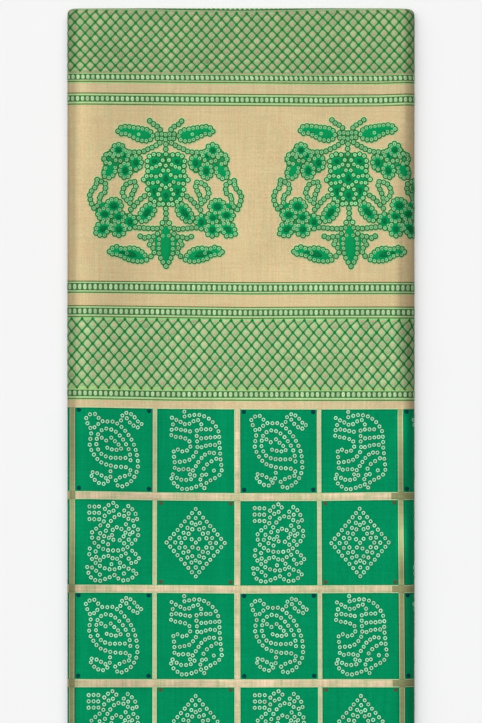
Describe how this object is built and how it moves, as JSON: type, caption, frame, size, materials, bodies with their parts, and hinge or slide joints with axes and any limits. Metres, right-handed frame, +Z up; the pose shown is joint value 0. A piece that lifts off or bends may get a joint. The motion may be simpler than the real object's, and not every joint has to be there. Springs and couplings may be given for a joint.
{
  "type": "banarasi dupatta folded into a flat packet",
  "caption": "Green and gold woven dupatta with a patterned end and a body of squares, folded flat into a long packet.",
  "frame": {"origin": "centre of the packet's outline on the surface it lies on", "axes": "+Z up from the surface, +Y along the packet towards its patterned end, +X across the packet"},
  "size_m": [0.305, 0.841, 0.0138],
  "materials": {
    "brocade": "silk brocade, green and pale gold, with a soft metallic sheen"
  },
  "bodies": {
    "root": {"dupatta": "brocade"}
  },
  "joints": []
}
